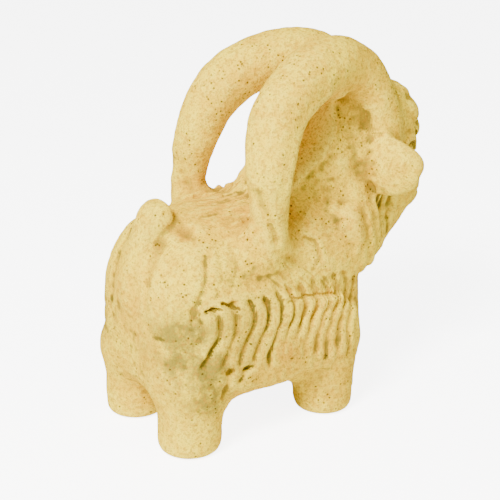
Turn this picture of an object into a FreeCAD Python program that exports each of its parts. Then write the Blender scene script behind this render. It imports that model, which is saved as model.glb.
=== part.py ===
"""Standing ram with great swept-back horns, hand built in clay: solid barrel, neck, head, horns, legs,
tail, ears, forelock and beard, luted together. Every joint face is cut to the neighbour it is pressed against.

Millimetres. +X is the way the ram faces, +Y its left, +Z up. The feet stand on Z = 0 and the origin is
the floor point under the middle of the ram's overall length and width.
"""
import FreeCAD, Part
import math
import os
from FreeCAD import Vector

# ---- driving dimensions -----------------------------------------------------------------------
FOOT_TRACK = 68.0         # left foot centre to right foot centre
FOOT_BASE = 107.0         # hind foot centre to front foot centre
FOOT_RADIUS = 20.5
LEG_FLARE = 1.0           # how much wider the leg is at the belly than at the floor
LEG_TOP = 62.0
FOOT_EDGE = 6.0           # rounding of the foot's bottom edge
HIP_EDGE = 14.0           # rounding of the leg's top where it is pressed against the barrel
WOOL_THICKNESS = 3.4      # clay slab laid on each flank for the wool
EYE_RADIUS = 5.5
BACK_ROUNDNESS = 2.2      # superellipse exponent of the barrel's upper half
BELLY_ROUNDNESS = 4.5     # the same for the lower half, which is squarer
FORM_ROUNDNESS = 2.6      # the same for neck, head, muzzle and beard
OUTLINE_POINTS = 24       # points carrying one section's closed curve
PARTS = "parts"

# Barrel: (x, centre height, half width, half height) of each upright section, rump to chest.
BARREL = [
    (-77.5, 80.0, 20.0, 22.0),
    (-72.0, 82.0, 39.5, 42.5),
    (-58.0, 85.5, 51.0, 55.5),
    (-32.0, 87.0, 54.5, 60.5),
    (4.0, 87.0, 54.0, 61.5),
    (40.0, 85.0, 52.0, 60.0),
    (68.0, 81.0, 46.0, 53.0),
    (82.5, 77.0, 35.0, 43.0),
    (88.5, 74.0, 18.0, 24.0),
]
# Neck: (height, centre x, half length, half width, roundness) of each level section, from inside the
# barrel up; it spreads over the shoulders as a squared cape.
NECK = [
    (96.0, 56.0, 40.0, 46.0, 3.5),
    (110.0, 53.0, 49.0, 49.5, 3.5),
    (128.0, 54.0, 51.0, 47.0, 3.5),
    (147.0, 64.5, 49.5, 37.5, 3.0),
    (164.0, 72.0, 44.5, 31.0, 2.8),
    (183.0, 82.5, 36.0, 28.0, 2.6),
    (207.0, 92.0, 26.0, 26.0, 2.6),
]
# Head: the same, chin to crown.
HEAD = [
    (118.0, 116.0, 16.0, 15.0),
    (128.0, 115.0, 27.0, 24.0),
    (148.0, 113.0, 34.0, 29.0),
    (172.0, 112.0, 35.0, 30.0),
    (194.0, 110.0, 31.0, 27.0),
    (206.0, 108.0, 22.0, 18.0),
]
# Muzzle: (x, centre height, half width, half height), forehead to nose.
MUZZLE = [
    (128.0, 146.0, 21.0, 22.0),
    (140.0, 142.0, 18.5, 20.0),
    (149.0, 139.0, 16.0, 17.0),
    (154.0, 138.0, 9.0, 10.0),
]
# Forelock: (height, centre x, half length, half width), brow to crown.
FORELOCK = [
    (166.0, 136.0, 9.0, 13.0),
    (174.0, 136.0, 16.0, 20.0),
    (187.0, 131.0, 20.0, 23.0),
    (201.0, 125.0, 18.5, 21.0),
    (211.0, 120.0, 10.0, 12.0),
]
# Beard: (height, centre x, half length, half width), breast to chin.
BEARD = [
    (70.0, 84.0, 8.0, 9.0),
    (82.0, 91.0, 19.0, 18.0),
    (102.0, 103.0, 24.0, 22.0),
    (120.0, 117.0, 24.0, 22.0),
    (134.0, 126.0, 20.0, 18.0),
]
# Horn's centre line (x, distance from the middle plane, height) and radius, forehead to shoulder.
HORN = [
    (107.0, 20.0, 176.0, 16.5),
    (104.0, 18.5, 194.0, 18.0),
    (82.0, 17.0, 226.5, 19.0),
    (43.0, 28.0, 228.0, 18.0),
    (10.5, 36.0, 204.0, 17.0),
    (-0.5, 44.0, 165.0, 13.2),
    (-1.0, 47.0, 143.0, 11.0),
    (1.0, 47.5, 132.0, 8.0),
    (2.5, 47.0, 126.5, 4.0),
]
# Ear: (x, distance from the middle plane, height) and half sizes along and across the leaf, root to tip.
EAR = [
    (88.0, 20.0, 164.0, 21.0, 8.0),
    (93.0, 30.0, 164.0, 22.0, 9.0),
    (99.5, 41.0, 163.0, 20.0, 9.5),
    (107.0, 51.0, 160.0, 16.0, 8.5),
    (112.0, 57.5, 157.5, 8.5, 5.0),
]
# Tail: (height, centre x, half depth, half width), root to tip.
TAIL = [
    (100.0, -61.0, 9.0, 12.0),
    (118.0, -60.0, 11.0, 16.0),
    (137.0, -57.0, 11.0, 16.0),
    (149.0, -54.5, 9.5, 13.0),
    (156.0, -53.5, 5.0, 8.0),
]
# Wool slab on the flank: outline seen from the side (x, z), going round.
WOOL = [
    (-50.0, 97.0), (-24.0, 103.0), (8.0, 97.0), (36.0, 91.0), (60.0, 83.0), (68.0, 68.0),
    (58.0, 52.0), (34.0, 44.0), (4.0, 41.0), (-22.0, 44.0), (-44.0, 54.0), (-55.0, 74.0),
]
# Curl of wool behind each cheek: centre (x, distance from the middle plane, height) and half sizes.
CURL_CENTRE = (65.0, 43.0, 128.0)
CURL_SIZE = (9.0, 7.0, 12.0)
EYE_CENTRE = (131.0, 24.5, 163.0)


def closed_curve(points):
    curve = Part.BSplineCurve()
    curve.interpolate(points, PeriodicFlag=True)
    return Part.Wire(curve.toShape())


def superellipse(half_a, half_b, upper, lower):
    """Points (a, b) round a superellipse whose upper and lower halves differ in squareness."""
    out = []
    for i in range(OUTLINE_POINTS):
        t = 2 * math.pi * i / OUTLINE_POINTS
        c, s = math.cos(t), math.sin(t)
        power = 2 / (upper if s >= 0 else lower)
        out.append((half_a * math.copysign(abs(c) ** power, c), half_b * math.copysign(abs(s) ** power, s)))
    return out


def loft(wires):
    return Part.makeLoft(wires, True, False)


def upright_loft(sections, grow=0.0, upper=FORM_ROUNDNESS, lower=FORM_ROUNDNESS):
    """Solid through upright sections along X, every half size made larger by grow."""
    wires = []
    for x, z, half_w, half_h in sections:
        ring = superellipse(half_w + grow, half_h + grow, upper, lower)
        wires.append(closed_curve([Vector(x, a, z + b) for a, b in ring]))
    return loft(wires)


def level_loft(sections):
    """Solid through level sections up Z; a section may carry its own roundness as a fifth number."""
    wires = []
    for z, x, half_l, half_w, *roundness in sections:
        power = roundness[0] if roundness else FORM_ROUNDNESS
        ring = superellipse(half_l, half_w, power, power)
        wires.append(closed_curve([Vector(x + a, b, z) for a, b in ring]))
    return loft(wires)


def path_through(points):
    path = Part.BSplineCurve()
    path.interpolate([Vector(*p[:3]) for p in points])
    return path


def heading(path, point):
    return Vector(*path.tangent(path.parameter(point))[0])


def ring_at(path, point, reference, half_side, half_up):
    """Elliptic section square to the path at a point; its up direction is the one nearest reference."""
    centre = Vector(*point[:3])
    along = heading(path, centre)
    side = along.cross(reference).normalize()
    up = side.cross(along)
    ring = superellipse(half_side, half_up, 2.0, 2.0)
    return closed_curve([centre + side * a + up * b for a, b in ring])


def coil(points):
    """Round clay coil through (x, y, z, radius) points of a path that runs mostly fore and aft."""
    path = path_through(points)
    return loft([ring_at(path, p, Vector(0, 1, 0), p[3], p[3]) for p in points])


def leaf(points):
    """Flat leaf through (x, y, z, half height, half thickness) points, its flat side upright."""
    path = path_through(points)
    return loft([ring_at(path, p, Vector(0, 0, 1), p[4], p[3]) for p in points])


def ellipsoid(centre, size):
    stretch = FreeCAD.Matrix()
    stretch.scale(*size)
    ball = Part.makeSphere(1.0).transformGeometry(stretch)
    ball.translate(Vector(*centre))
    return ball


def right_side(points):
    """The same points with the distance from the middle plane taken to the ram's right."""
    return [(x, -y, *rest) for x, y, *rest in points]


def mirrored(shape):
    return shape.mirror(Vector(0, 0, 0), Vector(0, 1, 0))


def right_half_space():
    return Part.makeBox(600, 300, 600, Vector(-300, -300, -100))


def less(shape, *neighbours):
    """The shape with its neighbours' room cut out of it, keeping the largest piece."""
    for n in neighbours:
        shape = shape.cut(n)
    return max(shape.Solids, key=lambda s: s.Volume)


def barrel(grow=0.0):
    return upright_loft(BARREL, grow, BACK_ROUNDNESS, BELLY_ROUNDNESS)


def leg(x, y):
    post = Part.makeCone(FOOT_RADIUS, FOOT_RADIUS + LEG_FLARE, LEG_TOP, Vector(x, y, 0))
    lowest = min(post.Edges, key=lambda e: e.BoundBox.ZMax)
    highest = max(post.Edges, key=lambda e: e.BoundBox.ZMin)
    return post.makeFillet(HIP_EDGE, [highest]).makeFillet(FOOT_EDGE, [lowest])


def wool_slab(core):
    outline = closed_curve([Vector(x, -80, z) for x, z in WOOL])
    window = Part.Face(outline).extrude(Vector(0, 60, 0))
    return barrel(WOOL_THICKNESS).common(window).cut(core)


def build():
    core = barrel()
    neck = level_loft(NECK)
    head = level_loft(HEAD)
    muzzle = upright_loft(MUZZLE)
    horn = coil(right_side(HORN)).common(right_half_space())
    right_horn = less(horn, neck, head, core)
    both_horns = (right_horn, mirrored(right_horn))

    parts = {
        "body": core,
        "neck": less(neck, core),
        "head": less(head, neck, core),
        "muzzle": less(muzzle, head),
        "tail": less(level_loft(TAIL), core),
        "forelock": less(level_loft(FORELOCK), head, *both_horns),
        "beard": less(level_loft(BEARD), head, muzzle, neck, core),
    }
    legs = {}
    for end, side_x in (("front", 1), ("hind", -1)):
        for side, side_y in (("right", -1), ("left", 1)):
            post = leg(side_x * FOOT_BASE / 2, side_y * FOOT_TRACK / 2)
            legs[end + "_" + side + "_leg"] = less(post, core)
    parts.update(legs)

    right = {
        "horn": right_horn,
        "ear": less(leaf(right_side(EAR)), head, neck, right_horn),
        "eye": less(ellipsoid((EYE_CENTRE[0], -EYE_CENTRE[1], EYE_CENTRE[2]), [EYE_RADIUS] * 3), head, muzzle),
        "cheek_curl": less(ellipsoid((CURL_CENTRE[0], -CURL_CENTRE[1], CURL_CENTRE[2]), CURL_SIZE),
                           head, neck, core, parts["beard"]),
        "flank_wool": less(wool_slab(core), legs["front_right_leg"], legs["hind_right_leg"], neck),
    }
    for name, shape in right.items():
        parts["right_" + name] = shape
        parts["left_" + name] = mirrored(shape)
    return parts


def centred(parts):
    """Move the whole ram so its length is centred over the origin."""
    box = Part.makeCompound(list(parts.values())).optimalBoundingBox(False, False)
    for shape in parts.values():
        shape.translate(Vector(-(box.XMin + box.XMax) / 2, 0, -box.ZMin))
    return box


def main():
    os.makedirs(PARTS, exist_ok=True)
    parts = build()
    box = centred(parts)
    print("length", round(box.XLength, 2), "width", round(box.YLength, 2), "height", round(box.ZLength, 2),
          "moved", round(-(box.XMin + box.XMax) / 2, 3))
    for name, shape in parts.items():
        shape.exportStep(os.path.join(PARTS, name + ".step"))
        print(name, "valid", shape.isValid(), "solids", len(shape.Solids), "cm3", round(shape.Volume / 1000, 1))


main()
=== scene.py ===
"""Looks of the clay ram: one continuous hand-modelled skin, split along the CAD's own pieces.

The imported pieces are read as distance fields, pressed together with soft joints, tooled with locks,
grooves and pits, and meshed again so that every CAD piece keeps a closed clay piece of its own.
Lengths in this script are millimetres; Blender's objects are in metres.
"""
import bpy
import math
import numpy as np
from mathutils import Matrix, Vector
from mathutils.bvhtree import BVHTree


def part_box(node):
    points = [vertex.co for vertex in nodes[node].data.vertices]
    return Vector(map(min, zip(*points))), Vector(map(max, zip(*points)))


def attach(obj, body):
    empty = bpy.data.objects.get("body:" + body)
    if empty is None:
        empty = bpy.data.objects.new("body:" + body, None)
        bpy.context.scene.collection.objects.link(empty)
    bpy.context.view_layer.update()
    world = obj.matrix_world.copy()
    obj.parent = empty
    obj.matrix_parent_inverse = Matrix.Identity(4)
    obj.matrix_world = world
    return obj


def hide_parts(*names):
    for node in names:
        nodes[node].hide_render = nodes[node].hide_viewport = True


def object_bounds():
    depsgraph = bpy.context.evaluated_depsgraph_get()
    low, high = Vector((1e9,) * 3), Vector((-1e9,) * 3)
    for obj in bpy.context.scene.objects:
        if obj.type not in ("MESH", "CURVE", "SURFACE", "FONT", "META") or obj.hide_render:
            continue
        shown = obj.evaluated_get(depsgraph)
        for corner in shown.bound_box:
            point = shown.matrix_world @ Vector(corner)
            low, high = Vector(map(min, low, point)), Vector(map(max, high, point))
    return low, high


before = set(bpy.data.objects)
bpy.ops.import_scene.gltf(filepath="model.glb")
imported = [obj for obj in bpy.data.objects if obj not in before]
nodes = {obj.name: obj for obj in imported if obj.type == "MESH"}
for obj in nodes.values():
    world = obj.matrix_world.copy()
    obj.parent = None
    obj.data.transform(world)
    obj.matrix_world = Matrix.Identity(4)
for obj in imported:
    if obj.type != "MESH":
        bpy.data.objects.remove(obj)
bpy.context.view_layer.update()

MM = 0.001
VOXEL = 1.05            # spacing of the fine field
COARSE = 3              # fine steps per sampled step
REACH = 9.0             # how far round a piece its distance is sampled
FAR = 25.0              # distance given to places a piece is not sampled at
NEAR = 8.0              # the marks of hollows look no further than this from the skin
BAND = 6.5              # the skin is tooled this far in and out
DEEPEST = 5.0           # no tooling goes deeper or stands higher than this
STEP = VOXEL * COARSE
OFF_EDGE = (0.013, 0.017)   # keeps the upright lines off the pieces' edges
MARGIN = 6              # room left round the CAD box
FOOT = 7.0              # tooling fades out over this height above the floor
SOFTNESS = {            # how far clay is smeared across each piece's joint
    "body": 1.0, "leg": 15.0, "horn": 6.0, "ear": 6.0, "tail": 3.5, "neck": 8.0, "head": 9.0,
    "muzzle": 12.0, "forelock": 4.0, "beard": 8.0, "eye": 1.2, "cheek_curl": 6.0, "flank_wool": 2.2,
}
HORN_END_SMEAR = 18.0   # extra smear where the horn's tip is pressed on the shoulder
WOOL_SMEAR = 11.0       # extra smear round the flank wool, except along its ledge over the front leg
EAR_EDGE = 1.2          # the ear's lower edge stays sharp


def box_mm(node):
    low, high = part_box(node)
    return np.array(low) / MM, np.array(high) / MM


def ramp(value, start, end):
    t = np.clip((value - start) / (end - start), 0, 1)
    return t * t * (3 - 2 * t)


def window(value, a, b, c, d):
    """0 below a, 1 from b to c, 0 above d."""
    return ramp(value, a, b) * (1 - ramp(value, c, d))


def softness(name, x, z):
    """How far a piece is smeared into its neighbours, at each x (a column) and height."""
    k = next(k for word, k in SOFTNESS.items() if name.endswith(word))
    low, high = box_mm(name)
    size = high - low
    if name.endswith("horn"):
        return k + HORN_END_SMEAR * (1 - ramp(z - low[2], 0.1 * size[2], 0.34 * size[2])) + 0 * x
    if name.endswith("flank_wool"):
        forward = ramp(x - low[0], 0.50 * size[0], 0.66 * size[0])
        ledge = forward * ramp(z - low[2], 0.5 * size[2], 0.65 * size[2])
        return k + WOOL_SMEAR * (1 - ledge)
    if name.endswith("ear"):
        return EAR_EDGE + (k - EAR_EDGE) * ramp(z - low[2], 0.2 * size[2], 0.6 * size[2]) + 0 * x
    return k + 0 * z + 0 * x


# ---- sampling the CAD pieces ------------------------------------------------------------------
order = sorted(nodes, key=lambda n: (n != "body", not n.endswith("leg"), n != "neck", n != "head", n))
low_mm = np.array(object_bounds()[0]) / MM
high_mm = np.array(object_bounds()[1]) / MM
origin = np.floor((low_mm - MARGIN) / STEP) * STEP
coarse_shape = np.ceil((high_mm + MARGIN - origin) / STEP).astype(int) + 1
fine_shape = (coarse_shape - 1) * COARSE + 1


def tree_of(obj):
    mesh = obj.data
    co = np.empty(len(mesh.vertices) * 3)
    mesh.vertices.foreach_get("co", co)
    polys = [tuple(p.vertices) for p in mesh.polygons]
    return BVHTree.FromPolygons((co.reshape(-1, 3) / MM).tolist(), polys)


def crossings(tree, x, y, bottom, top):
    """Heights at which an upright line goes through the piece's skin."""
    out = []
    z = bottom
    while z < top:
        hit = tree.ray_cast(Vector((x, y, z)), Vector((0, 0, 1)), top - z)[0]
        if hit is None:
            break
        out.append(hit.z)
        z = hit.z + 1e-3
    return out


def sampled(name):
    """(first coarse index, signed distances) of a piece round its own box."""
    low, high = box_mm(name)
    tree = tree_of(nodes[name])
    i0 = np.maximum(np.floor((low - REACH - origin) / STEP).astype(int), 0)
    i1 = np.minimum(np.ceil((high + REACH - origin) / STEP).astype(int), coarse_shape - 1)
    axes = [origin[a] + STEP * np.arange(i0[a], i1[a] + 1) for a in range(3)]
    out = np.full([len(a) for a in axes], FAR, np.float32)
    find = tree.find_nearest
    for i, x in enumerate(axes[0]):
        for j, y in enumerate(axes[1]):
            hits = crossings(tree, x + OFF_EDGE[0], y + OFF_EDGE[1], low[2] - 1, high[2] + 1)
            inside = np.zeros(len(axes[2]), bool)
            for a, b in zip(hits[0::2], hits[1::2]):
                inside |= (axes[2] > a) & (axes[2] < b)
            for k, z in enumerate(axes[2]):
                d = find((x, y, z), FAR)[3]
                if d is not None:
                    out[i, j, k] = -d if inside[k] else d
                elif inside[k]:
                    out[i, j, k] = -FAR
    return i0, out


def finer(a, axis):
    a = np.moveaxis(a, axis, 0)
    out = np.empty(((len(a) - 1) * COARSE + 1,) + a.shape[1:], np.float32)
    for k in range(COARSE):
        t = k / COARSE
        out[k:-1:COARSE] = a[:-1] * (1 - t) + a[1:] * t
    out[-1] = a[-1]
    return np.moveaxis(out, 0, axis)


def soften(a, times=1):
    """Average each value with its neighbours along every axis."""
    for _ in range(times):
        for axis in range(3):
            a = np.moveaxis(a, axis, 0)
            b = a.copy()
            b[1:-1] = 0.5 * a[1:-1] + 0.25 * (a[2:] + a[:-2])
            a = np.moveaxis(b, 0, axis)
    return a


field = np.full(fine_shape, FAR, np.float32)
nearest = np.full(fine_shape, FAR, np.float32)
label = np.zeros(fine_shape, np.int8)
for number, name in enumerate(order):
    start, coarse = sampled(name)
    piece = finer(finer(finer(coarse, 0), 1), 2)
    s = tuple(slice(c * COARSE, c * COARSE + n) for c, n in zip(start, piece.shape))
    k = softness(name, (origin[0] + VOXEL * np.arange(s[0].start, s[0].stop))[:, None, None],
                 origin[2] + VOXEL * np.arange(s[2].start, s[2].stop))
    near, gap = field[s], np.abs(field[s] - piece)
    field[s] = np.minimum(near, piece) - np.maximum(k - gap, 0) ** 2 / (4 * k)
    closer = piece < nearest[s]
    label[s][closer] = number
    nearest[s] = np.minimum(nearest[s], piece)
del nearest
field = np.ascontiguousarray(soften(field, 2))


def depth_inside(outside):
    """Distance from each inside place to the outside, as far as the tooled band reaches."""
    reach = int(BAND / VOXEL) + 2
    squares = np.where(outside, 0, reach ** 2).astype(np.float32)
    for axis in range(3):
        a = np.moveaxis(squares, axis, 0)
        best = a.copy()
        for n in range(1, reach + 1):
            best[n:] = np.minimum(best[n:], a[:-n] + n * n)
            best[:-n] = np.minimum(best[:-n], a[n:] + n * n)
        squares = np.moveaxis(best, 0, axis)
    return VOXEL * (np.sqrt(squares) - 0.5)


# Where two pieces touch deep inside, the joined field is near 0 and tooling would open a crack there.
buried = soften(depth_inside(field > 0), 2)
deeper = ramp(field + buried, 0.7, 2.0) * (field < 0)
field += deeper * (-buried - field)
del buried, deeper

# ---- noise ------------------------------------------------------------------------------------


def lattice(ix, iy, iz, seed):
    """A repeatable value from 0 to 1 for each whole-number place; the large numbers only scramble."""
    n = (ix * 374761393 + iy * 668265263 + iz * 2147483647 + seed * 1274126177) & 0xFFFFFFFF
    n = ((n ^ (n >> 13)) * 1274126177) & 0xFFFFFFFF
    return ((n ^ (n >> 16)) & 0xFFFF).astype(np.float32) / 65535


def noise(x, y, z, size, seed):
    """Smooth noise from -1 to 1 whose lumps are about size across."""
    px, py, pz = x / size + 100.0, y / size + 100.0, z / size + 100.0
    ix, iy, iz = (np.floor(p).astype(np.int64) for p in (px, py, pz))
    fx, fy, fz = (p - np.floor(p) for p in (px, py, pz))
    fx, fy, fz = (f * f * (3 - 2 * f) for f in (fx, fy, fz))
    out = 0
    for dx in (0, 1):
        for dy in (0, 1):
            for dz in (0, 1):
                w = (fx if dx else 1 - fx) * (fy if dy else 1 - fy) * (fz if dz else 1 - fz)
                out = out + w * lattice(ix + dx, iy + dy, iz + dz, seed)
    return (2 * out - 1).astype(np.float32)


# ---- places on the ram, from the frame ----------------------------------------------------------


def on(node, forward, out, up):
    """(x, distance from the middle plane, height) at shares of the right-hand piece's own box."""
    low, high = box_mm(node)
    width = max(abs(low[1]), abs(high[1]))
    return np.array([low[0] + forward * (high[0] - low[0]), out * width, low[2] + up * (high[2] - low[2])])


body_low, body_high = box_mm("body")
wool_low, wool_high = box_mm("right_flank_wool")
neck_low, neck_high = box_mm("neck")
lock_low, lock_high = box_mm("forelock")
beard_low = box_mm("beard")[0]
muzzle_low, muzzle_high = box_mm("muzzle")
wool_size = wool_high - wool_low

# How much the distance in depth counts for a mark, against the distance seen from the side.
SIDE_ON = 0.15      # drawn on a side that faces outward
LEANING = 0.3       # drawn on a side that turns away
ALL_ROUND = 1.0     # follows the form all round

# Ridges (+) and grooves (-): piece, path in shares of its box, width, height, how much depth counts.
STROKES = [
    # neck: a thick strand under the horn that runs to the horn's foot, and the hollow behind it
    ("neck", [(0.49, 0.52, 1.04), (0.45, 0.56, 0.88), (0.38, 0.60, 0.75), (0.17, 0.65, 0.60),
      (0.03, 0.77, 0.49)], 5.0, 4.8, LEANING),
    ("neck", [(0.33, 0.50, 0.95), (0.24, 0.54, 0.80), (0.10, 0.56, 0.68)], 6.5, -4.2, LEANING),
    # neck: the crest in front of the ear, the curl's rim round the cheek hollow, and the mane's cut end
    ("right_ear", [(0.10, 0.42, 0.92), (0.02, 0.48, 0.40), (0.0, 0.50, -0.05)], 4.2, 2.2, ALL_ROUND),
    ("neck", [(0.39, 0.85, 0.405), (0.455, 0.87, 0.38), (0.50, 0.87, 0.32), (0.52, 0.87, 0.235),
      (0.50, 0.88, 0.16)], 4.2, 2.0, LEANING),
    ("neck", [(0.11, 0.95, 0.295), (0.175, 0.97, 0.265), (0.195, 0.98, 0.21), (0.20, 0.99, 0.15)],
      1.6, -1.2, SIDE_ON),
    # horn: the crest along its outer side, and the furrow that ends in a slit on the shoulder
    ("right_horn", [(0.12, 0.84, 0.14), (0.16, 0.97, 0.385), (0.21, 0.90, 0.54), (0.30, 0.80, 0.67),
      (0.445, 0.76, 0.75)], 4.4, 2.2, ALL_ROUND),
    ("right_horn", [(0.08, 0.86, 0.09), (0.045, 0.91, 0.20), (0.01, 0.97, 0.33)], 3.4, -1.7, SIDE_ON),
    ("right_horn", [(0.085, 0.84, 0.05), (0.07, 0.87, 0.13), (0.05, 0.9, 0.17)], 1.0, -1.9, SIDE_ON),
    # back: the seam where the cape starts, and the cape's lower edge over the shoulder
    ("body", [(0.41, 0.33, 0.985), (0.42, 0.46, 0.97), (0.425, 0.66, 0.92), (0.43, 0.77, 0.88)],
      1.6, -1.8, ALL_ROUND),
    ("body", [(0.46, 0.90, 0.84), (0.52, 0.92, 0.78), (0.59, 0.92, 0.73), (0.69, 0.90, 0.66)],
      4.0, -1.0, SIDE_ON),
    # rump: the tail's ridge runs down it, with a soft furrow each side
    ("body", [(0.07, 0.0, 0.86), (0.035, 0.0, 0.72), (0.01, 0.0, 0.58)], 8.5, 4.2, ALL_ROUND),
    ("body", [(0.10, 0.30, 0.86), (0.045, 0.36, 0.70), (0.03, 0.38, 0.52)], 5.0, -3.0, ALL_ROUND),
    # haunch: soft curved furrows between its locks
    ("body", [(0.20, 0.6, 0.84), (0.17, 0.68, 0.74), (0.115, 0.72, 0.62), (0.095, 0.75, 0.52)],
      2.0, -1.5, SIDE_ON),
    ("body", [(0.25, 0.62, 0.83), (0.235, 0.7, 0.74), (0.18, 0.75, 0.64)], 1.7, -1.2, SIDE_ON),
    ("body", [(0.31, 0.6, 0.86), (0.31, 0.7, 0.78), (0.275, 0.75, 0.70), (0.23, 0.75, 0.64)],
      1.5, -1.1, SIDE_ON),
    # flank: the notch at the ledge's rear end, and furrows that run on below the pits
    ("right_flank_wool", [(0.03, 0.9, 0.945), (0.09, 0.92, 0.96)], 1.2, -2.6, SIDE_ON),
    ("right_flank_wool", [(0.115, 0.93, 1.0), (0.19, 0.95, 0.92)], 1.3, -3.0, SIDE_ON),
    ("right_flank_wool", [(0.14, 0.9, 0.27), (0.125, 0.9, 0.12), (0.12, 0.9, -0.02)], 3.0, -1.9, SIDE_ON),
    ("right_flank_wool", [(0.245, 0.9, 0.26), (0.20, 0.9, 0.14)], 2.2, -1.5, SIDE_ON),
    # flank: the thin ledge over the front leg
    ("right_flank_wool", [(0.50, 0.95, 0.86), (0.66, 0.95, 0.82), (0.84, 0.95, 0.76)],
      1.1, -1.6, SIDE_ON),
    # ear: the valley down its root, and the undercut below its straight lower edge
    ("right_ear", [(0.22, 0.56, 0.80), (0.18, 0.58, 0.50), (0.24, 0.60, 0.16)], 6.5, -2.2, ALL_ROUND),
    ("right_ear", [(0.22, 0.52, -0.10), (0.52, 0.72, -0.08), (0.84, 0.93, 0.0)], 2.6, -3.0, ALL_ROUND),
]
# Dents (-) and swellings (+): piece, centre in shares of its box, radii, height.
DENTS = [
    ("neck", (0.60, 0.50, 0.94), (12, 18, 15), -2.4),
    ("neck", (0.69, 0.55, 0.84), (13, 18, 11), -1.8),
    ("neck", (0.50, 0.67, 0.64), (6, 16, 10), 3.2),
    ("neck", (0.56, 0.71, 0.47), (6, 16, 9), 3.0),
    ("neck", (0.31, 0.80, 0.43), (13, 22, 17), -3.6),
    ("right_ear", (0.46, 0.49, -0.24), (11, 11, 8), -3.6),
    ("right_ear", (0.60, 0.74, 0.50), (7, 8, 8), 1.8),
    ("body", (0.185, 0.40, 0.94), (5, 7, 7), -4.4),
    ("right_flank_wool", (0.17, 0.94, 0.985), (3.6, 12, 2.4), -2.6),
    ("right_flank_wool", (0.14, 0.95, 0.27), (3.4, 12, 2.3), -3.4),
    ("right_flank_wool", (0.245, 0.95, 0.26), (4.0, 12, 2.0), -3.2),
    ("right_flank_wool", (-0.16, 0.80, 0.64), (2.6, 12, 1.8), -2.2),
    ("right_flank_wool", (0.49, 0.95, 0.30), (10, 14, 14), 0.9),
]


FADED = 2.6         # widths from its path at which a stroke is too faint to matter
DEPTH_SLACK = 20    # how far a path may wander in depth from its first point


def stroke(h, x, side, z, path, width, height, depth_counts):
    """Press a groove or raise a ridge along a path."""
    low, high = np.min(path, 0) - FADED * width, np.max(path, 0) + FADED * width
    reach = FADED * width / depth_counts
    here = np.flatnonzero((x > low[0]) & (x < high[0]) & (z > low[2]) & (z < high[2])
                          & (np.abs(side - path[0][1]) < reach + DEPTH_SLACK))
    scale = np.array([1, depth_counts, 1])
    place = np.stack([x[here], side[here], z[here]], 1) * scale
    nearest_so_far = np.full(len(here), np.inf)
    for a, b in zip(path[:-1], path[1:]):
        a, b = a * scale, b * scale
        t = np.clip((place - a) @ (b - a) / ((b - a) @ (b - a)), 0, 1)
        nearest_so_far = np.minimum(nearest_so_far, ((place - a - t[:, None] * (b - a)) ** 2).sum(1))
    h[here] += height * np.exp(-nearest_so_far / width ** 2)


def spot(x, side, z, centre, radii):
    """1 at the centre, falling smoothly to 0 over the radii."""
    return np.exp(-sum(((v - c) / r) ** 2 for v, c, r in zip((x, side, z), centre, radii)))


def groove(distance, width, depth):
    return -depth * np.exp(-(distance / width) ** 2)


LOCK_PITCH = 12.6       # from one lock of the flank to the next, at the rear
LOCK_CROWDING = 0.000162    # how much closer together they get towards the front
COMB_PITCH = 2.6
# Coarse and fine strokes of the coat: pitch, noise seed, weight.
COAT_PITCHES = ((14.0, 22, 0.9), (8.1, 25, 0.45))
STRIAE_PITCH = 3.1
# Along the back, from the rump: where its wrinkles start, are full, fade and end.
WRINKLES = (40, 55, 92, 108)
WRINKLES_UP = (136, 144)    # heights over which they come in
THROAT = (52, 64)           # ahead of the neck's rear end, where the throat's folds come in
THROAT_UP = (84, 98, 140, 152)
FOLD_PITCH = 9.5
TIERS = 2.6             # rolls of wool up the forelock
BEARD_ROOT = 14         # the beard's locks fan out from here, ahead of its rear end
BEARD_LOCKS, BEARD_HAIRS = 12, 31   # in 2 pi radians round that root
EYE_RING = 7.5          # radius of the groove round an eye
EYE_RIM = 11.5          # radius of the brow above it


def flank_locks(x, side, z):
    """Wavy upright locks of wool under the flank's ledge; they lie over each other like shingles."""
    up = (z - wool_low[2]) / wool_size[2]
    along = (x - wool_low[0]) / wool_size[0]
    fall = (1 - up) / 0.75
    bend = 3.6 * np.sin(math.pi * np.clip(fall / 0.55, 0, 1)) - 8.0 * ramp(fall, 0.40, 0.90)
    wander = 1.5 * noise(x, z * 0.5, side * 0.1, 15.0, 3)
    t = x - bend - wander - (wool_low[0] + 0.06 * wool_size[0])
    phase = t / LOCK_PITCH + LOCK_CROWDING * t * np.abs(t)
    off = phase - np.round(phase)
    behind = phase - np.floor(phase) - 0.5
    front = ramp(along, 0.52, 0.72)
    strength = 0.9 + 0.6 * noise(x, z, side, 15.0, 5)
    h = groove(off * 11.5, 2.2 + 0.7 * front, 2.5 - 1.2 * front) * strength
    h = h + 1.7 * behind * (1 - np.exp(-(off / 0.16) ** 2)) * (1 - 0.5 * front)
    combed = window(along, 0.64, 0.72, 0.86, 0.93) * window(up, 0.58, 0.70, 0.88, 0.96)
    h = h + 0.40 * np.sin(2 * math.pi * t / COMB_PITCH) * combed
    patch = np.exp(-((along - 0.49) / 0.11) ** 2 - ((up - 0.36) / 0.24) ** 2)
    h = h * (1 - 0.95 * patch) + 0.7 * noise(x, z, side, 7.0, 10)
    below = 0.24 + 0.06 * noise(x, z * 0, side * 0, 15.0, 6) - 0.22 * front
    return h * window(along, -0.06, 0.04, 0.95, 1.08) * window(up, below - 0.08, below + 0.14, 0.92, 1.04)


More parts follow.
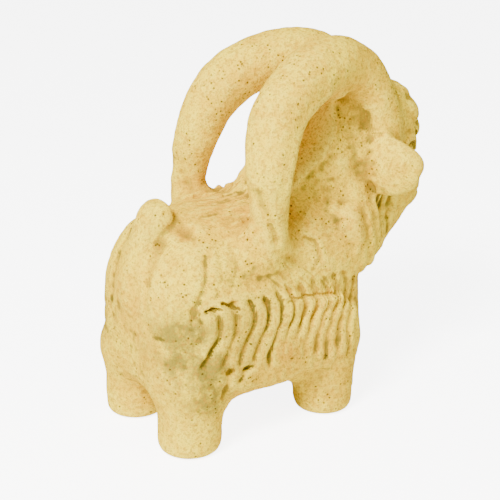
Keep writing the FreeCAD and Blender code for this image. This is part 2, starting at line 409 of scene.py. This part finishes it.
def coat_strokes(x, side, z):
    """Tooled strokes that slant forward and down over the shoulder, softer towards the haunch."""
    share = (x - body_low[0]) / (body_high[0] - body_low[0])
    lean = -0.25 - 0.60 * ramp(share, 0.25, 0.48)
    t = x - lean * (z - wool_high[2] - 8) + 4.0 * noise(x, z, side, 24.0, 21)
    shoulder = ramp(share, 0.30, 0.42)
    h = 0
    for pitch, seed, weight in COAT_PITCHES:
        phase = t / pitch + 0.35 * noise(x, z * 0.3, side, 31.0, seed + 1)
        off = (phase - np.round(phase)) * pitch
        cut = ramp(noise(x * 0.8, z * 0.5, side, 15.0, seed), -0.05, 0.5)
        h = h + weight * groove(off, 2.6 - 1.3 * shoulder, 1.1 + 0.5 * shoulder) * cut
    striae = ramp(noise(x, z, side, 12.0, 24), -0.1, 0.4) * shoulder
    h = h + 0.30 * np.sin(2 * math.pi * t / STRIAE_PITCH + 2 * noise(x, z, side, 8.0, 23)) * striae
    cape = on("body", 0, 0, 0.85)[2] - 0.72 * (x - on("body", 0.44, 0, 0)[0]) * (share > 0.44)
    top = np.minimum(cape, on("body", 0, 0, 0.90)[2])
    where = window(share, 0.27, 0.40, 0.84, 0.94) * ramp(side, 20, 30)
    low_edge = on("right_flank_wool", 0, 0, 0.90)[2] - 9 * ramp(share, 0.5, 0.8)
    return h * where * ramp(z, low_edge - 4, low_edge + 4) * (1 - ramp(z, top - 6, top + 6))


def relief(x, y, z, who):
    """Height of the tooling above the plain form, in millimetres."""
    side = np.abs(y)
    is_piece = {n: who == i for i, n in enumerate(order)}
    horn = is_piece["right_horn"] | is_piece["left_horn"]
    torso = is_piece["body"] | is_piece["right_flank_wool"] | is_piece["left_flank_wool"]
    for n in order:
        if n.endswith("leg"):
            torso = torso | is_piece[n]
    flank = ramp(side, 34, 44)

    h = 1.1 * noise(x, y, z, 27.0, 1) + 0.45 * noise(x, y, z, 9.0, 2)
    h = h + 0.30 * noise(x, y, z, 3.6, 4)
    h = h + flank_locks(x, side, z) * flank * torso
    h = h + coat_strokes(x, side, z) * torso
    h = np.where(horn, 0.8 * h, h)

    # wrinkles run fore and aft along the back, between the horns' feet
    back = window(x, *(body_low[0] + w for w in WRINKLES)) * ramp(z, *WRINKLES_UP)
    wrinkle = noise(x * 0.22, y, z, 4.6, 71) + 0.6 * noise(x * 0.25, y, z, 2.6, 72)
    h = h + 0.9 * wrinkle * back * (is_piece["body"] | is_piece["neck"])

    # soft upright folds down the side of the neck and the breast
    folds = np.sin(2 * math.pi * (x + 0.12 * z) / FOLD_PITCH + 1.2 * noise(x, y, z, 18.0, 51))
    throat = window(x, neck_low[0] + THROAT[0], neck_low[0] + THROAT[1], neck_high[0], neck_high[0] + 20)
    h = h + 0.55 * folds * throat * window(z, *THROAT_UP) * ramp(side, 14, 22)

    for node, path, width, height, depth_counts in STROKES:
        stroke(h, x, side, z, [on(node, *p) for p in path], width, height, depth_counts)
    for node, centre, radii, height in DENTS:
        h += height * spot(x, side, z, on(node, *centre), radii)

    # forelock and beard: rolled tiers on the brow, combed locks under the chin
    row = (z - lock_low[2]) / (lock_high[2] - lock_low[2])
    tiers = 2.2 * np.sqrt(np.sin(math.pi * (row * TIERS + 0.1)) ** 2 + 0.06) - 1.3
    strands = np.sin(y * 0.80 + 1.2 * noise(x, y, z, 12.0, 61))
    h = h + is_piece["forelock"] * (tiers + 0.45 * strands)
    around = np.arctan2(y, x - (beard_low[0] + BEARD_ROOT))
    locks = np.sin(around * BEARD_LOCKS + z * 0.06 + 1.4 * noise(x, y, z, 15.0, 62))
    h = h + is_piece["beard"] * (0.5 * locks + 0.15 * np.sin(around * BEARD_HAIRS + z * 0.1))

    # face: sockets round the eyes, a nose ridge, nostrils and a mouth
    face = is_piece["muzzle"] | is_piece["head"]
    front = ramp(x, muzzle_low[0] - 2, muzzle_low[0] + 8)
    nose_z = (muzzle_low[2] + muzzle_high[2]) / 2
    mouth = groove(z - (nose_z - 6) + 0.10 * side, 1.2, 2.2) * window(side, -1, 0, 15, 20)
    nostril = -2.6 * np.exp(-(((side - 6.5) / 2.0) ** 2 + ((z - nose_z - 5 - 0.4 * (side - 6.5)) / 1.6) ** 2))
    split = groove(y, 0.9, 1.3) * window(z, nose_z - 6, nose_z - 4, nose_z, nose_z + 2)
    h = h + (mouth + nostril + split) * front * face
    eye_low, eye_high = box_mm("right_eye")
    eye = (eye_low + eye_high) / 2
    ring = np.sqrt((x - eye[0]) ** 2 + (side - abs(eye[1])) ** 2 + (z - eye[2]) ** 2)
    brow = 1.5 * np.exp(-((ring - EYE_RIM) / 2.2) ** 2) * (z > eye[2])
    h = h + is_piece["head"] * (groove(ring - EYE_RING, 1.6, 1.8) + brow)
    return h


# Where grey-green dirt, some of it painted shade, and orange stain lie: piece, centre in shares of its box,
# radii, strength.
DIRT_AND_SHADE = [
    ("body", (0.07, 0.85, 0.45), (13, 30, 18), 1.6),
    ("body", (0.13, 0.9, 0.30), (15, 30, 14), 1.6),
    ("body", (0.15, 0.9, 0.13), (14, 30, 10), 1.2),
    ("right_flank_wool", (0.18, 0.9, 0.62), (26, 30, 22), 0.6),
    # painted shade: these three darken the horn's shaded foot, the hollow under the ear's lower edge and the
    # cheek hollow
    ("right_horn", (0.10, 0.85, 0.25), (14, 14, 18), 0.35),
    ("right_ear", (0.5, 0.5, -0.25), (10, 14, 8), 0.5),
    ("neck", (0.36, 0.86, 0.31), (9, 12, 8), 0.5),
    ("tail", (0.4, 0.7, 0.2), (10, 8, 16), 0.45),
    ("front_right_leg", (0.3, 0.6, 0.45), (16, 40, 14), 0.45),
]
ORANGE = [
    ("right_flank_wool", (0.49, 0.9, 0.33), (10, 30, 15), 0.8),
    ("right_flank_wool", (0.72, 0.9, 0.20), (15, 30, 14), 0.55),
    ("right_flank_wool", (0.17, 0.94, 1.02), (5, 14, 4), 0.8),
    ("body", (0.44, 0.2, 1.0), (26, 34, 9), 0.7),
    ("body", (0.18, 0.40, 0.94), (5, 7, 8), 1.0),
    ("neck", (0.12, 0.75, 0.42), (16, 12, 14), 0.6),
    ("neck", (0.48, 0.88, 0.34), (10, 12, 9), 0.5),
    ("right_ear", (0.95, 1.0, 0.4), (7, 7, 10), 0.8),
    ("body", (0.0, 0.3, 0.5), (12, 22, 26), 0.35),
]


def stain_and_shade(x, y, z, spots):
    """How strongly the listed stains, dirt and painted shade lie at each place, from 0 to 1."""
    return np.clip(sum(k * spot(x, np.abs(y), z, on(node, *c), r) for node, c, r, k in spots), 0, 1)


# ---- tooling the skin -----------------------------------------------------------------------------
band = np.flatnonzero(np.abs(field) < BAND)
bi, bj, bk = np.unravel_index(band, field.shape)
px = (origin[0] + VOXEL * bi).astype(np.float32)
py = (origin[1] + VOXEL * bj).astype(np.float32)
pz = (origin[2] + VOXEL * bk).astype(np.float32)
height = relief(px, py, pz, label.ravel()[band])
height = DEEPEST * np.tanh(height / DEEPEST) * ramp(pz, 0.0, FOOT)
flat = field.reshape(-1)
flat[band] -= height
floor_cut = (origin[2] + VOXEL * np.arange(fine_shape[2])).astype(np.float32)
field = np.maximum(field, -floor_cut[None, None, :])

# how far each place lies in a hollow or on a ridge, for the painted shade and wash in the hollows and the
# painted highlight on the ridges: negative in hollows, at three scales
GROOVE_PASSES, HOLLOW_PASSES, CAVERN_PASSES = 3, 5, 11
small = soften(field, GROOVE_PASSES) - field
shallow = np.clip(field, -NEAR, NEAR)
wide = soften(shallow[::COARSE, ::COARSE, ::COARSE], HOLLOW_PASSES)
broad = soften(wide, CAVERN_PASSES)
wide = finer(finer(finer(wide, 0), 1), 2) - shallow
broad = finer(finer(finer(broad, 0), 1), 2) - shallow

# ---- meshing --------------------------------------------------------------------------------------
solid = np.where(field < 0, label, -1).astype(np.int8)
nx, ny, nz = solid.shape
cell_id = np.full((nx - 1, ny - 1, nz - 1), -1, np.int32)
first = solid[:-1, :-1, :-1]
mixed = np.zeros(cell_id.shape, bool)
CORNERS = [(i, j, k) for i in (0, 1) for j in (0, 1) for k in (0, 1)]
for i, j, k in CORNERS[1:]:
    mixed |= solid[i:nx - 1 + i, j:ny - 1 + j, k:nz - 1 + k] != first
ci, cj, ck = np.nonzero(mixed)
cell_id[ci, cj, ck] = np.arange(len(ci))
corner = {c: field[ci + c[0], cj + c[1], ck + c[2]] for c in CORNERS}
total = np.zeros((len(ci), 3), np.float32)
count = np.zeros(len(ci), np.float32)
for a in CORNERS:
    for axis in range(3):
        if a[axis]:
            continue
        b = tuple(1 if m == axis else a[m] for m in range(3))
        fa, fb = corner[a], corner[b]
        cross = (fa < 0) != (fb < 0)
        t = np.where(cross, fa / np.where(cross, fa - fb, 1), 0)
        point = np.array(a, np.float32)[None, :] + np.zeros((len(ci), 1), np.float32)
        point[:, axis] = t
        total += point * cross[:, None]
        count += cross
place = np.where(count[:, None] > 0, total / np.maximum(count, 1)[:, None], 0.5)
verts = (origin + VOXEL * (np.stack([ci, cj, ck], 1) + place)) * MM
normal = np.zeros((len(ci), 3), np.float32)
for axis in range(3):
    for a in CORNERS:
        normal[:, axis] += corner[a] * (1 if a[axis] else -1)
normal /= np.maximum(np.linalg.norm(normal, axis=1), 1e-6)[:, None]
where_mm = verts / MM
marks = {
    "recess": small[ci, cj, ck],
    "hollow": wide[ci, cj, ck],
    "cavern": broad[ci, cj, ck],
    "dirt_and_shade": stain_and_shade(*where_mm.T, DIRT_AND_SHADE),
    "orange": stain_and_shade(*where_mm.T, ORANGE),
}

faces = {n: [] for n in range(len(order))}
for axis in range(3):
    near = [slice(None)] * 3
    beyond = [slice(None)] * 3
    near[axis], beyond[axis] = slice(None, -1), slice(1, None)
    a, b = solid[tuple(near)], solid[tuple(beyond)]
    differs = a != b
    for m in range(3):
        if m != axis:
            edge = [slice(None)] * 3
            edge[m] = 0
            differs[tuple(edge)] = False
            edge[m] = -1
            differs[tuple(edge)] = False
    e = np.stack(np.nonzero(differs), 1)
    la, lb = a[differs], b[differs]
    p, q = [(1, 2), (2, 0), (0, 1)][axis]
    ring = []
    for dp, dq in ((-1, -1), (0, -1), (0, 0), (-1, 0)):
        c = e.copy()
        c[:, p] += dp
        c[:, q] += dq
        ring.append(cell_id[c[:, 0], c[:, 1], c[:, 2]])
    quad = np.stack(ring, 1)
    for n in range(len(order)):
        faces[n].append(quad[la == n])
        faces[n].append(quad[lb == n][:, ::-1])


def clay_piece(name, quads):
    used, index = np.unique(quads, return_inverse=True)
    index = index.reshape(quads.shape)
    mesh = bpy.data.meshes.new("clay_" + name)
    mesh.vertices.add(len(used))
    mesh.vertices.foreach_set("co", verts[used].astype(np.float32).ravel())
    mesh.loops.add(index.size)
    mesh.loops.foreach_set("vertex_index", index.astype(np.int32).ravel())
    mesh.polygons.add(len(index))
    mesh.polygons.foreach_set("loop_start", np.arange(0, index.size, 4, dtype=np.int32))
    mesh.update(calc_edges=True)
    mesh.polygons.foreach_set("use_smooth", np.ones(len(index), bool))
    for key, values in marks.items():
        mesh.attributes.new(key, "FLOAT", "POINT").data.foreach_set("value", values[used].astype(np.float32))
    mesh.normals_split_custom_set_from_vertices(normal[used].tolist())
    mesh.validate()
    obj = bpy.data.objects.new("clay_" + name, mesh)
    bpy.context.scene.collection.objects.link(obj)
    return obj


# ---- material ---------------------------------------------------------------------------------------


CREAM = (0.90, 0.655, 0.016, 1)
OCHRE = (0.76, 0.450, 0.006, 1)
AMBER = (0.40, 0.185, 0.005, 1)
RUST = (0.70, 0.300, 0.006, 1)
OLIVE = (0.15, 0.110, 0.010, 1)
MOSS = (0.24, 0.180, 0.020, 1)
PALE = (0.93, 0.730, 0.050, 1)
DARK = (0.040, 0.024, 0.003, 1)
PINHOLES = 290      # cells per metre that may hold a pinhole
GRAIN, SAND = 850, 420      # lumps per metre of the finest grit and of the coarser sand
ROUGHNESS = 0.9
SHEEN_LEVEL = 0.04          # the clay hardly shines
BUMP_DEPTH = 0.0011         # metres
MIX_UNDER, MIX_OVER = 6, 7  # the colour inputs of Blender's Mix node


def clay_material():
    """Sandy ochre clay: paler on the ridges as a painted highlight, amber wash with painted shade in the
    hollows, olive painted shade and grime in the grooves, grey-green dirt, and pinholes darkened as painted
    shade.
    """
    mat = bpy.data.materials.new("ochre_clay")
    mat.use_nodes = True
    tree = mat.node_tree
    tree.nodes.clear()
    new, link = tree.nodes.new, tree.links.new
    coord = new("ShaderNodeTexCoord")

    def calc(kind, a, b):
        n = new("ShaderNodeMath")
        n.operation = kind
        for socket, v in zip(n.inputs, (a, b)):
            if isinstance(v, (int, float)):
                socket.default_value = v
            else:
                link(v, socket)
        return n.outputs[0]

    def cloud(scale, detail, rough=0.55):
        n = new("ShaderNodeTexNoise")
        n.inputs["Scale"].default_value = scale
        n.inputs["Detail"].default_value = detail
        n.inputs["Roughness"].default_value = rough
        link(coord.outputs["Object"], n.inputs["Vector"])
        return n.outputs["Fac"]

    def mark(name):
        n = new("ShaderNodeAttribute")
        n.attribute_name = name
        return n.outputs["Fac"]

    def spread(value, low, high):
        n = new("ShaderNodeMapRange")
        n.inputs["From Min"].default_value = low
        n.inputs["From Max"].default_value = high
        link(value, n.inputs["Value"])
        return n.outputs["Result"]

    def tint(under, colour, share, most):
        """The colour under, turned towards another by share, at most by most."""
        n = new("ShaderNodeMix")
        n.data_type = "RGBA"
        link(calc("MULTIPLY", share, most), n.inputs[0])
        if isinstance(under, tuple):
            n.inputs[MIX_UNDER].default_value = under
        else:
            link(under, n.inputs[MIX_UNDER])
        n.inputs[MIX_OVER].default_value = colour
        return n.outputs[2]

    grain = cloud(GRAIN, 3, 0.7)
    sand = cloud(SAND, 2, 0.6)
    # the hollows at two scales, for the amber: the ochre wash pooled there, deepened with painted shade
    pit = spread(calc("MULTIPLY", mark("hollow"), -1.0), 0.12, 2.2)
    cave = spread(calc("MULTIPLY", mark("cavern"), -1.0), 0.9, 4.2)
    deep = calc("MAXIMUM", pit, cave)
    tight = spread(calc("MULTIPLY", mark("recess"), -1.0), 0.03, 0.18)
    ridge = spread(mark("recess"), 0.02, 0.12)
    dirt_and_shade_mask = calc("MULTIPLY", mark("dirt_and_shade"), spread(cloud(70, 5, 0.7), 0.34, 0.56))
    rusty = calc("MULTIPLY", mark("orange"), spread(cloud(90, 4), 0.30, 0.58))
    crease_shade_and_grime = calc("MULTIPLY", tight, calc("ADD", spread(cloud(32, 2), 0.36, 0.58), mark("dirt_and_shade")))

    colour = tint(CREAM, OCHRE, spread(cloud(26, 4), 0.36, 0.62), 0.88)
    colour = tint(colour, OCHRE, spread(cloud(140, 3), 0.46, 0.62), 0.50)
    colour = tint(colour, RUST, rusty, 0.85)
    # ochre wash and painted shade: amber in the hollows
    colour = tint(colour, AMBER, deep, 0.78)
    # painted highlight: paler on the ridges
    colour = tint(colour, PALE, ridge, 0.45)
    # grey-green dirt, with painted shade on the horn's foot, under the ear and in the cheek hollow
    colour = tint(colour, MOSS, dirt_and_shade_mask, 0.92)
    # painted shade: olive in the tight creases, stronger where the dirt and shade spots lie
    colour = tint(colour, OLIVE, crease_shade_and_grime, 0.85)
    colour = tint(colour, AMBER, spread(sand, 0.50, 0.63), 0.48)
    colour = tint(colour, OLIVE, spread(grain, 0.51, 0.65), 0.50)

    cells = new("ShaderNodeTexVoronoi")
    cells.inputs["Scale"].default_value = PINHOLES
    link(coord.outputs["Object"], cells.inputs["Vector"])
    hole = spread(calc("MULTIPLY", cells.outputs["Distance"], -1.0), -0.24, -0.12)
    hole = calc("MULTIPLY", hole, spread(cloud(75, 1), 0.50, 0.58))
    # painted shade: the pinholes are darkened almost to black
    colour = tint(colour, DARK, hole, 0.85)

    height = calc("ADD", calc("MULTIPLY", grain, 0.5), calc("MULTIPLY", sand, 0.8))
    height = calc("SUBTRACT", height, calc("MULTIPLY", hole, 1.2))
    bump = new("ShaderNodeBump")
    bump.inputs["Strength"].default_value = 0.6
    bump.inputs["Distance"].default_value = BUMP_DEPTH
    link(height, bump.inputs["Height"])

    shader = new("ShaderNodeBsdfPrincipled")
    shader.inputs["Roughness"].default_value = ROUGHNESS
    shader.inputs["Specular IOR Level"].default_value = SHEEN_LEVEL
    link(colour, shader.inputs["Base Color"])
    link(bump.outputs["Normal"], shader.inputs["Normal"])
    out = new("ShaderNodeOutputMaterial")
    link(shader.outputs["BSDF"], out.inputs["Surface"])
    return mat


clay = clay_material()
for number, name in enumerate(order):
    piece = clay_piece(name, np.concatenate(faces[number]))
    piece.data.materials.append(clay)
    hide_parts(name)
    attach(piece, "root")
    print(name, len(piece.data.polygons))

# ---- floor, light and camera ----------------------------------------------------------------------
FLOOR_SIZE = 12             # metres
FLOOR_GLOW = 6.0            # seen by the camera only, so it lights nothing
SKY = 0.55
KEY_POWER, FILL_POWER = 62, 4
LIT_POINT = (0, 0, 0.12)
LENS = 90
BODY_REAR = -77.5           # the body's rear end in the frame the camera was placed in
CAMERA_PLACE = (-429.15, -637.21, 392.5)
CAMERA_AIM = (0.539, 0.770, -0.342)

bpy.ops.mesh.primitive_plane_add(size=FLOOR_SIZE, location=(0, 0, 0))
floor = bpy.context.object
floor.name = "floor"
paper = bpy.data.materials.new("paper")
paper.use_nodes = True
paper_shader = paper.node_tree.nodes["Principled BSDF"]
paper_shader.inputs["Base Color"].default_value = (0.98, 0.98, 0.98, 1)
paper_shader.inputs["Roughness"].default_value = 0.9
paper_shader.inputs["Emission Color"].default_value = (1, 1, 1, 1)
seen = paper.node_tree.nodes.new("ShaderNodeLightPath")
glow = paper.node_tree.nodes.new("ShaderNodeMath")
glow.operation = "MULTIPLY"
glow.inputs[1].default_value = FLOOR_GLOW
paper.node_tree.links.new(seen.outputs["Is Camera Ray"], glow.inputs[0])
paper.node_tree.links.new(glow.outputs[0], paper_shader.inputs["Emission Strength"])
floor.data.materials.append(paper)

world = bpy.data.worlds.new("studio")
bpy.context.scene.world = world
world.use_nodes = True
world.node_tree.nodes["Background"].inputs["Color"].default_value = (1.0, 0.99, 0.97, 1)
world.node_tree.nodes["Background"].inputs["Strength"].default_value = SKY


def soft_box(name, place, aim, size, power):
    """A square area light aimed at a point."""
    data = bpy.data.lights.new(name, "AREA")
    data.size = size
    data.energy = power
    lamp = bpy.data.objects.new(name, data)
    bpy.context.scene.collection.objects.link(lamp)
    lamp.location = place
    lamp.rotation_euler = (Vector(aim) - Vector(place)).to_track_quat("-Z", "Y").to_euler()


soft_box("key", (-0.95, -0.50, 1.15), LIT_POINT, 0.45, KEY_POWER)
soft_box("fill", (0.6, -1.2, 0.7), LIT_POINT, 0.9, FILL_POWER)

shift = body_low[0] - BODY_REAR
camera_data = bpy.data.cameras.new("camera")
camera_data.lens = LENS
camera = bpy.data.objects.new("camera", camera_data)
bpy.context.scene.collection.objects.link(camera)
camera.location = Vector((CAMERA_PLACE[0] + shift, CAMERA_PLACE[1], CAMERA_PLACE[2])) * MM
camera.rotation_euler = Vector(CAMERA_AIM).to_track_quat("-Z", "Y").to_euler()
bpy.context.scene.camera = camera
